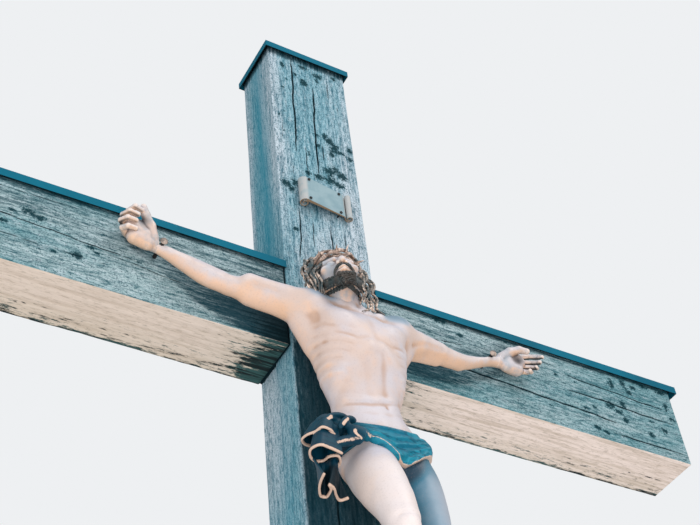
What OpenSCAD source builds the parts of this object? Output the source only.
// Wayside cross: a timber post and crossbeam with sheet-metal caps,
// a small scroll plate and a cast figure held by three nails.
// Millimetres, Z up. The origin is the middle of the post's foot.
// The figure faces -Y; left and right are as seen from in front.

/* [Timber] */
// Width of the post, seen from in front
post_w = 240; // [200:1:300]
// Depth of both timbers, front to back
timber_d = 150; // [120:1:190]
// Height of the post above the ground
post_h = 4658; // [4400:1:5600]
// Height of the beam's underside above the ground
beam_z = 3540; // [3000:1:3560]
// Height of the beam's section
beam_h = 255; // [210:1:310]
// Reach of each arm, from the post's middle to the beam's end
arm_reach = 1025; // [850:1:1250]

/* [Halving joint] */
// Gap between the beam's notch and the side of the post
shoulder_gap = 1; // [0.5:0.1:3]
// Diameter of the two bolts through the joint
bolt_d = 16; // [12:1:20]
// Distance of each bolt from the joint's middle, sideways
bolt_off_x = 55; // [40:1:75]
// Distance of each bolt from the joint's middle, up or down
bolt_off_z = 70; // [50:1:85]
// Diameter of the washers at the back
washer_d = 50; // [40:1:60]
// Thickness of the washers
washer_t = 5; // [3:0.5:8]

/* [Sheet caps] */
// Thickness of the folded sheet
sheet_t = 2; // [1:0.5:3]
// Height of the folded rim
rim_h = 20; // [15:1:35]
// Overhang of the post's cap on all four sides
post_cap_over = 10; // [5:1:20]
// Overhang of the beam's caps at the front and back
beam_cap_over = 7; // [4:1:20]
// Overhang of the beam's caps past the beam's ends
beam_cap_end = 25; // [10:1:40]

/* [Scroll plate] */
// Height of the plate's middle above the beam's underside
scroll_z = 518; // [460:1:640]
// Sideways place of the plate's middle
scroll_x = 6; // [-20:1:20]
// Height of the plate
scroll_h = 82; // [70:1:110]
// Distance between the two rolls
scroll_w = 128; // [110:1:150]
// Thickness of the scroll's sheet
scroll_t = 2.5; // [2:0.25:3]
// Outer radius of the left roll
roll_r_left = 15; // [10:0.5:16]
// Outer radius of the right roll
roll_r_right = 11; // [8:0.5:13]
// Diameter of the plate's screws
screw_d = 4; // [3:0.5:6]

/* [Figure] */
// Height of the figure if it stood upright
figure_h = 1150; // [950:1:1200]
// Diameter of the nails
nail_d = 9; // [6:0.5:12]
// Depth of the nails in the timber
nail_bite = 60; // [40:1:70]

/* [Hidden] */

front = -timber_d / 2;
beam_top = beam_z + beam_h;
beam_mid = beam_z + beam_h / 2;
overlap = 1;

// The figure was laid out at this height
drawn_h = 1150;
fs = figure_h / drawn_h;

// A place on the figure: sideways, out from the timber's face, up from the beam's underside
function place(p) = [p[0] * fs, front - p[1] * fs, beam_z + p[2] * fs];

timber_colour = [0.55, 0.66, 0.67];
sheet_colour = [0.02, 0.42, 0.50];
steel_colour = [0.45, 0.45, 0.46];
scroll_colour = [0.70, 0.74, 0.73];
flesh_colour = [0.84, 0.70, 0.63];
hair_colour = [0.28, 0.24, 0.22];
cloth_colour = [0.08, 0.30, 0.36];
nail_colour = [0.75, 0.66, 0.60];

// Helpers

function cr(a, b, c, d, t) =
    0.5 * (2 * b + (c - a) * t + (2 * a - 5 * b + 4 * c - d) * t * t + (3 * b - a - 3 * c + d) * t * t * t);
function pick(list, i) = list[max(0, min(len(list) - 1, i))];

// A list of rows, with more rows put in on a smooth curve through them
function smooth(list, steps) = [
    for (i = [0:len(list) - 2])
        for (s = [0:steps - 1])
            cr(pick(list, i - 1), list[i], list[i + 1], pick(list, i + 2), s / steps),
    list[len(list) - 1]
];
function unit(v) = v / norm(v);
function spot(row) = [row[0], row[1], row[2]];

// One ring of a limb: rows are sideways, out, up, half width and half depth
function ring(rows, i, sides) =
    let (
        along = unit(place(spot(pick(rows, i + 1))) - place(spot(pick(rows, i - 1)))),
        across = unit(cross(along, [0, -1, 0])),
        ahead = cross(across, along),
        middle = place(spot(rows[i]))
    )
    [for (k = [0:sides - 1])
        middle + fs * rows[i][3] * cos(360 * k / sides) * across + fs * rows[i][4] * sin(360 * k / sides) * ahead];

function skin_points(rings) = [for (r = rings) for (p = r) p];
function skin_faces(rings, sides) = concat(
    [[for (k = [sides - 1:-1:0]) k]],
    [for (i = [0:len(rings) - 2]) for (k = [0:sides - 1])
        let (a = i * sides + k, b = i * sides + (k + 1) % sides)
        [a, b, b + sides, a + sides]],
    [[for (k = [0:sides - 1]) (len(rings) - 1) * sides + k]]
);

// A closed limb through a few measured sections
module limb(rows, steps = 3, sides = 14) {
    all_rows = smooth(rows, steps);
    rings = [for (i = [0:len(all_rows) - 1]) ring(all_rows, i, sides)];
    polyhedron(points = skin_points(rings), faces = skin_faces(rings, sides), convexity = 6);
}

module ball(p, r) {
    translate(place(p)) sphere(r = r * fs);
}

// A rounded muscle or fold from one place to another
module bulge(p, rp, q, rq) {
    hull() {
        ball(p, rp);
        ball(q, rq);
    }
}

// A run of rounded links: rows are sideways, out, up and radius
module strand(rows) {
    for (i = [0:len(rows) - 2])
        bulge(spot(rows[i]), rows[i][3], spot(rows[i + 1]), rows[i + 1][3]);
}

// Everything behind the timber's front face
module timber_side() {
    reach = 2 * arm_reach;
    translate([-reach, front, 0]) cube([2 * reach, 2 * timber_d, post_h + reach]);
}

// The timbers, with their halving joint

module notch(extra) {
    // the beam runs through the back half of the post
    translate([-post_w / 2 - extra, 0, beam_z])
        cube([post_w + 2 * extra, timber_d / 2 + overlap, beam_h]);
}

module bolt_places() {
    for (s = [-1, 1])
        translate([s * bolt_off_x, 0, beam_mid + s * bolt_off_z]) children();
}

module bolt_holes() {
    bolt_places() rotate([90, 0, 0]) cylinder(d = bolt_d, h = 2 * timber_d, center = true, $fn = 48);
}

module nail_holes() {
    for (n = [nail_left, nail_right, nail_foot]) nail_shank(n, 0);
}

module post() {
    color(timber_colour)
    difference() {
        translate([-post_w / 2, -timber_d / 2, 0]) cube([post_w, timber_d, post_h]);
        notch(overlap);
        bolt_holes();
        nail_holes();
        screw_places() screw_hole();
    }
}

module crossbeam() {
    color(timber_colour)
    difference() {
        translate([-arm_reach, -timber_d / 2, beam_z]) cube([2 * arm_reach, timber_d, beam_h]);
        translate([-post_w / 2 - shoulder_gap, -timber_d / 2 - overlap, beam_z - overlap])
            cube([post_w + 2 * shoulder_gap, timber_d / 2 + overlap, beam_h + 2 * overlap]);
        bolt_holes();
        nail_holes();
    }
}

// Folded sheet caps

module folded_cap(x0, x1, y_half, top, open_x0 = false) {
    lip = open_x0 ? -overlap : sheet_t;
    difference() {
        translate([x0, -y_half, top - rim_h]) cube([x1 - x0, 2 * y_half, rim_h + sheet_t]);
        translate([x0 + lip, -y_half + sheet_t, top - rim_h - overlap])
            cube([x1 - x0 - lip - sheet_t, 2 * (y_half - sheet_t), rim_h + overlap]);
    }
}

module post_cap() {
    color(sheet_colour)
        folded_cap(-post_w / 2 - post_cap_over, post_w / 2 + post_cap_over, timber_d / 2 + post_cap_over, post_h);
}

module beam_cap() {
    color(sheet_colour)
        folded_cap(post_w / 2, arm_reach + beam_cap_end, timber_d / 2 + beam_cap_over, beam_top, true);
}

module beam_cap_right() {
    beam_cap();
}

module beam_cap_left() {
    mirror([1, 0, 0]) beam_cap();
}

// Bolts through the halving joint

bolt_head_d = 2.2 * bolt_d;
bolt_head_h = 0.5 * bolt_d;
nut_h = 0.8 * bolt_d;
nut_d = 1.8 * bolt_d;
bolt_tail = 0.4 * bolt_d;

module joint_bolt(s) {
    color(steel_colour)
    translate([s * bolt_off_x, 0, beam_mid + s * bolt_off_z])
        rotate([90, 0, 0]) {
            tail = timber_d / 2 + washer_t + nut_h + bolt_tail;
            translate([0, 0, -tail]) cylinder(d = bolt_d, h = tail + timber_d / 2, $fn = 48);
            // a low domed head against the front face
            translate([0, 0, timber_d / 2]) cylinder(d1 = bolt_head_d, d2 = 0.6 * bolt_head_d, h = bolt_head_h, $fn = 48);
        }
}

module upper_joint_bolt() {
    joint_bolt(1);
}

module lower_joint_bolt() {
    joint_bolt(-1);
}

module bolt_washers() {
    color(steel_colour)
    bolt_places()
        translate([0, timber_d / 2, 0]) rotate([-90, 0, 0])
            difference() {
                cylinder(d = washer_d, h = washer_t, $fn = 48);
                translate([0, 0, -overlap]) cylinder(d = bolt_d, h = washer_t + 2 * overlap, $fn = 48);
            }
}

module bolt_nut(s) {
    color(steel_colour)
    translate([s * bolt_off_x, timber_d / 2 + washer_t, beam_mid + s * bolt_off_z]) rotate([-90, 0, 0])
        difference() {
            cylinder(d = nut_d, h = nut_h, $fn = 6);
            translate([0, 0, -overlap]) cylinder(d = bolt_d, h = nut_h + 2 * overlap, $fn = 48);
        }
}

module upper_bolt_nut() {
    bolt_nut(1);
}

module lower_bolt_nut() {
    bolt_nut(-1);
}

// Scroll plate: a sheet rolled up at both sides, drawn in plan and extruded

roll_turns = 1.4;
roll_steps = 28;
scroll_back = 3 * scroll_t;
screw_inset_left = 9;
screw_inset_right = 27;
screw_inset_z = 7;
scroll_mid_z = beam_z + scroll_z;
scroll_face_left = 2 * roll_r_left;
scroll_face_right = 1.4 * roll_r_right;
face_end = 1.55 * roll_r_right;

// Middle line of a roll that winds inwards from a start angle; it turns backwards (1) or forwards (-1)
function roll_line(x, r, start, way) = [
    for (i = [0:roll_steps])
        let (t = i / roll_steps, a = start + way * 360 * roll_turns * t)
        let (q = (r - scroll_t / 2) * (1 - t) + 1.3 * scroll_t * t)
        [x + q * cos(a), r + q * sin(a)]
];
function backwards(list) = [for (i = [len(list) - 1:-1:0]) list[i]];

// The sheet's outline, half its thickness to each side of its middle line
function beside(line, off) = [
    for (i = [0:len(line) - 1])
        let (d = pick(line, i + 1) - pick(line, i - 1))
        line[i] + off * [-d[1], d[0]] / norm(d)
];

module scroll_profile() {
    x0 = -scroll_w / 2;
    x1 = scroll_w / 2;
    x2 = x1 - face_end;
    // the left roll winds back and the right roll winds forward
    line = concat(
        backwards(roll_line(x0, roll_r_left, 90, 1)),
        [[x2, scroll_face_right - scroll_t / 2], [x2 + 0.28 * face_end, scroll_face_right - 1.5 * scroll_t]],
        roll_line(x1, roll_r_right, -150, 1)
    );
    polygon(concat(beside(line, scroll_t / 2), backwards(beside(line, -scroll_t / 2))));
    // the cast back of the face, thicker towards the large roll
    polygon([[x0, scroll_face_left - scroll_t / 2], [x2, scroll_face_right - scroll_t / 2],
        [x2, scroll_face_right - 1.3 * scroll_t], [x0, scroll_face_left - scroll_back]]);
}

screw_columns = [-scroll_w / 2 + screw_inset_left, scroll_w / 2 - screw_inset_right];

module screw_places() {
    for (x = screw_columns) for (sz = [-1, 1])
        translate([scroll_x + x, front, scroll_mid_z + sz * (scroll_h / 2 - screw_inset_z)])
            children();
}

screw_bite = 35;
function face_out(x) =
    scroll_face_left + (scroll_face_right - scroll_face_left) * (x + scroll_w / 2) / (scroll_w - face_end);

module screw_hole() {
    rotate([90, 0, 0]) translate([0, 0, -screw_bite]) cylinder(d = screw_d, h = screw_bite + overlap, $fn = 32);
}

module screw_bore() {
    rotate([90, 0, 0]) translate([0, 0, -screw_bite])
        cylinder(d = screw_d, h = screw_bite + 3 * scroll_face_left, $fn = 32);
}

module scroll_plate() {
    color(scroll_colour)
    difference() {
        translate([scroll_x, front, scroll_mid_z - scroll_h / 2])
            mirror([0, 1, 0]) linear_extrude(height = scroll_h) scroll_profile();
        screw_places() screw_bore();
    }
}

module scroll_screws() {
    color(steel_colour)
    for (x = screw_columns) for (sz = [-1, 1]) {
        out = face_out(x);
        translate([scroll_x + x, front, scroll_mid_z + sz * (scroll_h / 2 - screw_inset_z)]) rotate([90, 0, 0]) {
            translate([0, 0, -screw_bite]) cylinder(d = screw_d, h = screw_bite + out, $fn = 32);
            // a flat head that clears the leaning face
            translate([0, 0, out + 0.2 * screw_d]) cylinder(d = 1.9 * screw_d, h = 0.5 * screw_d, $fn = 32);
            translate([0, 0, out - 0.1 * screw_d]) cylinder(d = screw_d, h = 0.4 * screw_d, $fn = 32);
        }
    }
}

// Nails: each place is the underside of the nail's head

nail_left = [-446, 52, 140];
nail_right = [404, 52, 116];
nail_foot = [2, 102, -925];
nail_head_d = 2 * nail_d;
nail_head_h = 0.8 * nail_d;
nail_dome_r = (nail_head_h * nail_head_h + nail_head_d * nail_head_d / 4) / (2 * nail_head_h);

module nail_shank(n, extra) {
    p = place(n);
    translate([p[0], front + nail_bite, p[2]]) rotate([90, 0, 0])
        cylinder(d = nail_d + extra, h = nail_bite + front - p[1], $fn = 32);
}

module nail(n) {
    color(nail_colour) {
        nail_shank(n, 0);
        translate(place(n)) rotate([90, 0, 0])
            rotate_extrude($fn = 32)
                intersection() {
                    translate([0, nail_head_h - nail_dome_r]) circle(r = nail_dome_r);
                    square(nail_head_d);
                }
    }
}

module nail_left_hand() {
    nail(nail_left);
}

module nail_right_hand() {
    nail(nail_right);
}

module nail_feet() {
    nail(nail_foot);
}

// The figure: rows are sideways, out from the timber, up, half width and half depth

trunk_rows = [
    [18, 88, -398, 40, 40], [20, 90, -374, 86, 56], [20, 92, -340, 102, 64], [14, 94, -300, 97, 60],
    [-3, 97, -255, 82, 52], [-11, 100, -215, 80, 54], [-11, 103, -165, 97, 61], [-15, 104, -105, 110, 68],
    [-17, 103, -50, 113, 67], [-19, 101, -12, 101, 56], [-23, 99, 14, 74, 42], [-30, 100, 34, 43, 34],
    [-39, 106, 58, 31, 31], [-46, 112, 92, 29, 30]
];

leg_left_rows = [
    [-30, 95, -330, 46, 48], [-36, 118, -395, 54, 55], [-42, 155, -465, 51, 51], [-46, 192, -540, 42, 43],
    [-47, 210, -592, 34, 37], [-43, 195, -634, 31, 34], [-34, 165, -685, 33, 36], [-22, 125, -745, 26, 28],
    [-10, 98, -800, 17, 19], [-2, 88, -838, 17, 19]
];

leg_right_rows = [
    [73, 92, -334, 44, 46], [78, 106, -400, 51, 52], [73, 130, -480, 47, 48], [67, 152, -555, 38, 40],
    [62, 162, -605, 33, 35], [55, 150, -650, 30, 33], [43, 122, -705, 32, 34], [28, 80, -770, 24, 25],
    [12, 43, -826, 16, 17], [4, 29, -856, 16, 16]
];

arm_left_rows = [
    [-82, 98, 0, 26, 24], [-128, 94, 26, 39, 35], [-176, 82, 42, 31, 30], [-240, 66, 55, 28, 27],
    [-308, 54, 68, 21, 21], [-345, 47, 83, 23, 22], [-392, 38, 109, 18, 18], [-432, 30, 132, 12, 13],
    [-456, 26, 145, 15, 12], [-478, 22, 163, 24, 14], [-500, 20, 182, 28, 13], [-514, 20, 193, 25, 11]
];

arm_right_rows = [
    [54, 98, -6, 26, 24], [94, 94, 12, 39, 35], [142, 82, 30, 31, 30], [210, 67, 44, 28, 27],
    [282, 54, 60, 21, 21], [318, 47, 74, 23, 22], [362, 38, 97, 18, 18], [405, 30, 118, 12, 13],
    [432, 26, 128, 14, 12], [458, 22, 138, 24, 14], [484, 20, 147, 28, 13], [500, 20, 151, 25, 11]
];

module trunk() {
    limb(trunk_rows, 2, 14);
    $fn = 6;
    // chest muscles
    bulge([-62, 140, -42], 30, [-96, 118, -20], 26);
    bulge([28, 140, -48], 30, [64, 118, -30], 26);
    // edge of the ribs
    bulge([-24, 150, -112], 14, [-82, 122, -170], 16);
    bulge([-6, 150, -114], 14, [58, 122, -172], 16);
    // breastbone and collar bones
    bulge([-17, 158, -40], 12, [-18, 152, 2], 10);
    bulge([-28, 134, 20], 8, [-104, 104, 46], 9);
    bulge([-14, 134, 16], 8, [72, 104, 32], 9);
    // neck muscles
    bulge([-32, 130, 24], 8, [-72, 110, 96], 10);
    bulge([-20, 130, 24], 8, [-24, 104, 92], 10);
    // muscles of the belly
    bulge([-26, 132, -150], 20, [-2, 134, -318], 26);
    bulge([4, 132, -150], 20, [32, 134, -318], 26);
    // broad back muscles that reach the arms
    bulge([-98, 82, -90], 26, [-122, 82, 0], 26);
    bulge([70, 82, -96], 26, [92, 82, -12], 26);
    // slopes between neck and shoulders
    bulge([-46, 84, 50], 18, [-116, 84, 40], 22);
    bulge([-14, 84, 44], 18, [84, 84, 26], 22);
}

module torso() {
    color(flesh_colour)
    difference() {
        trunk();
        timber_side();
    }
}

// Toes of a foot: rows of the big toe's place first
module toes(side, x, out, z) {
    $fn = 5;
    for (i = [0:4])
        bulge([x + side * (16 - 9 * i), out - 0.6 * i, z + 5 * i], 7.5 - 0.6 * i,
            [x + side * (17 - 9.5 * i), out - 2 - 0.6 * i, z - 18 + 6 * i], 6.5 - 0.6 * i);
}

module foot(side, x, out, z, lean) {
    // heel, instep and ball of the foot, with the sole towards the timber
    bulge([x, out - 12, z + 18], 18, [x, out - 4, z - 20], 18);
    bulge([x, out + 2, z - 20], 16, [x + side * 4, out - 8 - lean, z - 100], 13);
    bulge([x, out - 8, z], 15, [x + side * 12, out - 12 - lean, z - 112], 12);
    bulge([x, out - 8, z], 15, [x - side * 14, out - 13 - lean, z - 100], 11);
    toes(side, x, out - 12 - lean, z - 122);
}

module leg_left_solid() {
    limb(leg_left_rows, 2, 10);
    $fn = 6;
    foot(1, -1, 88, -848, 16);
    bulge([-47, 226, -578], 20, [-47, 222, -604], 18);
    bulge([-60, 170, -470], 32, [-60, 196, -530], 26);
    bulge([-36, 150, -668], 22, [-26, 118, -716], 18);
}

module leg_left() {
    color(flesh_colour)
    difference() {
        leg_left_solid();
        trunk();
        timber_side();
        nail_shank(nail_foot, 0);
    }
}

module leg_right_solid() {
    limb(leg_right_rows, 2, 10);
    $fn = 6;
    foot(-1, 0, 34, -866, 2);
    bulge([62, 178, -592], 19, [62, 174, -616], 17);
    bulge([88, 140, -480], 30, [82, 158, -540], 25);
    bulge([44, 108, -690], 22, [34, 80, -736], 18);
}

module leg_right() {
    color(flesh_colour)
    difference() {
        leg_right_solid();
        trunk();
        timber_side();
        nail_shank(nail_foot, 0);
    }
}

// A curled finger: knuckle, middle joint, end joint and tip
module finger(a, b, c, d, r) {
    strand([
        [a[0], a[1], a[2], r * 1.15], [b[0], b[1], b[2], r],
        [c[0], c[1], c[2], r * 0.92], [d[0], d[1], d[2], r * 0.8]
    ]);
}

module arm_left_solid() {
    limb(arm_left_rows, 2, 8);
    $fn = 5;
    // the fist: four curled fingers and the thumb
    finger([-506, 26, 204], [-524, 42, 210], [-516, 58, 212], [-500, 56, 208], 8.2);
    finger([-516, 26, 192], [-537, 42, 192], [-528, 59, 190], [-508, 58, 188], 8);
    finger([-523, 26, 177], [-541, 42, 174], [-532, 58, 171], [-511, 57, 171], 7.6);
    finger([-523, 26, 162], [-537, 40, 157], [-529, 54, 153], [-511, 53, 154], 7.2);
    strand([[-464, 34, 158, 13], [-474, 42, 184, 12], [-488, 50, 206, 9.5], [-496, 56, 222, 7.5]]);
}

module arm_left() {
    color(flesh_colour)
    difference() {
        arm_left_solid();
        trunk();
        timber_side();
        nail_shank(nail_left, 0);
    }
}

module arm_right_solid() {
    limb(arm_right_rows, 2, 8);
    $fn = 5;
    // the open hand: fingers bent forward and the thumb
    finger([500, 25, 166], [530, 34, 172], [546, 50, 168], [548, 64, 158], 8);
    finger([506, 24, 151], [534, 37, 152], [542, 55, 144], [535, 67, 134], 7.8);
    finger([504, 24, 136], [526, 40, 132], [530, 56, 122], [521, 66, 113], 7.4);
    finger([496, 24, 122], [512, 38, 114], [513, 52, 105], [504, 61, 98], 7);
    strand([[444, 32, 142, 13], [464, 44, 158, 12], [488, 54, 166, 9.5], [508, 62, 164, 7.5]]);
}

module arm_right() {
    color(flesh_colour)
    difference() {
        arm_right_solid();
        trunk();
        timber_side();
        nail_shank(nail_right, 0);
    }
}

// The head is drawn upright round its own middle and then leaned and turned

head_place = [-63, 124, 101];
head_lean = -7;
head_nod = -18;
head_turn = -20;

module head_frame() {
    translate(place(head_place)) rotate([head_nod, head_lean, head_turn]) scale(fs) children();
}

module lump(p, size) {
    translate(p) scale(size) sphere(r = 1);
}

module fold(p, rp, q, rq) {
    hull() {
        translate(p) sphere(r = rp);
        translate(q) sphere(r = rq);
    }
}

module head_solid() {
    $fn = 8;
    hull() {
        lump([0, 10, 22], [49, 62, 54]);
        lump([0, -20, 10], [40, 34, 40]);
    }
    hull() {
        lump([0, -14, -16], [40, 38, 30]);
        lump([0, -40, -56], [13, 11, 11]);
    }
    fold([0, -40, 8], 14, [0, -44, -26], 14);
    // brows, nose, cheeks, closed eyes and lips
    fold([-32, -42, 18], 5, [-8, -54, 20], 5);
    fold([32, -42, 18], 5, [8, -54, 20], 5);
    fold([0, -50, 18], 6, [0, -61, -9], 7);
    fold([-7, -54, -12], 6, [7, -54, -12], 6);
    fold([-32, -38, -6], 10, [-24, -44, -12], 9);
    fold([32, -38, -6], 10, [24, -44, -12], 9);
    fold([-22, -44, 6], 7.5, [-14, -46, 6], 7.5);
    fold([22, -44, 6], 7.5, [14, -46, 6], 7.5);
    fold([-9, -53, -29], 3.6, [9, -53, -29], 3.6);
    fold([-7, -52, -35], 3.8, [7, -52, -35], 3.8);
}

module head() {
    color(flesh_colour)
    difference() {
        head_frame() head_solid();
        trunk();
        timber_side();
    }
}

module hair_solid() {
    $fn = 6;
    head_frame() {
        difference() {
            hull() {
                lump([0, 14, 24], [54, 62, 55]);
                lump([0, 26, -20], [48, 42, 42]);
            }
            hull() {
                lump([0, -62, 12], [46, 48, 50]);
                lump([0, -62, -50], [42, 46, 40]);
            }
        }
        // the long locks on each side
        for (s = [-1, 1]) for (i = [0:2]) {
            x = s * (46 + 2 * i);
            y = -14 + 18 * i;
            fold([s * 44, y, 30 - 4 * i], 10, [x, y - 2, -24], 10);
            fold([x, y - 2, -24], 10, [x - s * 5, y + 4, -66 - 4 * i], 8);
        }
    }
    // locks that fall to the shoulders
    strand([[-100, 110, 132, 12], [-128, 108, 108, 10], [-136, 106, 62, 8]]);
    strand([[-118, 120, 156, 8], [-133, 124, 112, 9], [-132, 122, 76, 9], [-116, 122, 44, 7]]);
    strand([[-114, 134, 132, 8], [-122, 138, 90, 8], [-110, 134, 50, 7]]);
    strand([[4, 106, 194, 8], [12, 120, 146, 9], [4, 134, 74, 9], [-10, 144, 24, 7]]);
    strand([[2, 104, 180, 10], [28, 108, 150, 10], [26, 116, 90, 9], [46, 124, 44, 7]]);
}

module beard_solid() {
    head_frame() {
        $fn = 6;
        for (s = [-1, 1]) {
            fold([s * 41, -10, -18], 8, [s * 33, -26, -44], 9);
            fold([s * 33, -26, -44], 9, [s * 14, -42, -64], 11);
            fold([0, -60, -23], 4, [s * 18, -50, -32], 5);
            fold([s * 18, -50, -32], 5, [s * 18, -42, -54], 8);
        }
        fold([-8, -48, -58], 11, [8, -48, -58], 11);
        fold([0, -50, -62], 11, [0, -48, -76], 8);
    }
}

module hair() {
    color(hair_colour)
    difference() {
        hair_solid();
        head_frame() head_solid();
        trunk();
        arm_left_solid();
        arm_right_solid();
        beard_solid();
        timber_side();
    }
}

module beard() {
    color(hair_colour)
    difference() {
        beard_solid();
        head_frame() head_solid();
        trunk();
    }
}

// Crown of thorns: three twisted twigs round the head, with thorns

crown_steps = 20;
crown_sides = 4;
crown_twigs = 3;
crown_thorns = 9;
twig_r = 4;
function crown_middle(a) = [58 * sin(a), 7 - 67 * cos(a), 40 - 6 * cos(a)];
function twig_point(a, n) =
    let (w = 3 * a + 360 * n / crown_twigs, m = crown_middle(a))
    m + 5 * cos(w) * [sin(a), -cos(a), 0] + [0, 0, 8 * sin(w)];

module twig(n) {
    rings = [for (i = [0:crown_steps - 1])
        let (
            a = 360 * i / crown_steps,
            p = twig_point(a, n),
            along = unit(twig_point(a + 2, n) - twig_point(a - 2, n)),
            across = unit(cross(along, [0, 0, 1])),
            rise = cross(across, along)
        )
        [for (k = [0:crown_sides - 1])
            p + twig_r * (cos(360 * k / crown_sides) * across + sin(360 * k / crown_sides) * rise)]];
    faces = [for (i = [0:crown_steps - 1]) for (k = [0:crown_sides - 1])
        let (a = i * crown_sides, b = ((i + 1) % crown_steps) * crown_sides, m = (k + 1) % crown_sides)
        [a + k, a + m, b + m, b + k]];
    polyhedron(points = skin_points(rings), faces = faces, convexity = 6);
}

module crown_solid() {
    for (n = [0:crown_twigs - 1]) twig(n);
    $fn = 4;
    for (i = [0:crown_thorns - 1]) {
        a = 360 * i / crown_thorns;
        m = crown_middle(a);
        out = [sin(a + 25 * (i % 3 - 1)), -cos(a + 25 * (i % 3 - 1)), 0.7 * (i % 2) - 0.2];
        fold(m + 4 * unit(out), 3.4, m + 21 * unit(out), 0.8);
    }
}

module crown_of_thorns() {
    color(hair_colour)
    difference() {
        head_frame() crown_solid();
        head_frame() head_solid();
        hair_solid();
        trunk();
        timber_side();
    }
}

// Loincloth: a wrap round the hips with a knot and a ruffled end at the left hip

wrap_rows = [
    [10, 96, -268, 97, 62], [12, 95, -300, 104, 68], [18, 95, -330, 110, 73], [20, 98, -362, 112, 79],
    [20, 102, -396, 104, 82]
];

module wrap_solid() {
    limb(wrap_rows, 2, 16);
    $fn = 5;
    // folds that fan out from the knot
    for (i = [0:3])
        strand([[-92, 142, -300 - 10 * i, 8], [8, 162 + 3 * i, -316 - 16 * i, 8], [106, 120, -290 - 14 * i, 8]]);
}

module loincloth() {
    color(cloth_colour)
    difference() {
        wrap_solid();
        trunk();
        leg_left_solid();
        leg_right_solid();
        // the hem is cut higher over the thigh in front
        bulge([-40, 230, -440], 46, [-50, 150, -470], 50);
        timber_side();
    }
}

module knot_solid() {
    $fn = 6;
    bulge([-90, 128, -314], 24, [-120, 134, -320], 24);
    bulge([-96, 98, -300], 20, [-124, 112, -330], 20);
    // the loops of the knot
    strand([[-86, 156, -308, 9], [-112, 166, -322, 9], [-130, 166, -358, 8]]);
    strand([[-104, 150, -292, 9], [-136, 150, -304, 9], [-160, 150, -342, 8]]);
    strand([[-100, 122, -302, 12], [-144, 130, -300, 10], [-174, 128, -344, 8]]);
    strand([[-112, 158, -324, 9], [-80, 168, -352, 7]]);
}

module cloth_knot() {
    color(cloth_colour)
    difference() {
        knot_solid();
        wrap_solid();
        trunk();
        leg_left_solid();
        timber_side();
    }
}

// The hanging end: pleats from the knot down to the turns of its hem
hem_turns = [
    [-178, 128, -368], [-182, 148, -420], [-126, 136, -402], [-152, 152, -454], [-162, 146, -502],
    [-132, 130, -470], [-106, 118, -478]
];

module fall_solid() {
    $fn = 6;
    for (i = [0:len(hem_turns) - 2])
        hull() {
            ball([-124, 126 + 2 * i, -324], 14);
            ball(hem_turns[i], 7);
            ball(hem_turns[i + 1], 7);
        }
}

module cloth_fall() {
    color(cloth_colour)
    difference() {
        fall_solid();
        knot_solid();
        wrap_solid();
        trunk();
        leg_left_solid();
        timber_side();
    }
}

post();
crossbeam();
post_cap();
beam_cap_left();
beam_cap_right();
upper_joint_bolt();
lower_joint_bolt();
bolt_washers();
upper_bolt_nut();
lower_bolt_nut();
scroll_plate();
scroll_screws();
torso();
leg_left();
leg_right();
arm_left();
arm_right();
head();
hair();
beard();
crown_of_thorns();
loincloth();
cloth_knot();
cloth_fall();
nail_left_hand();
nail_right_hand();
nail_feet();
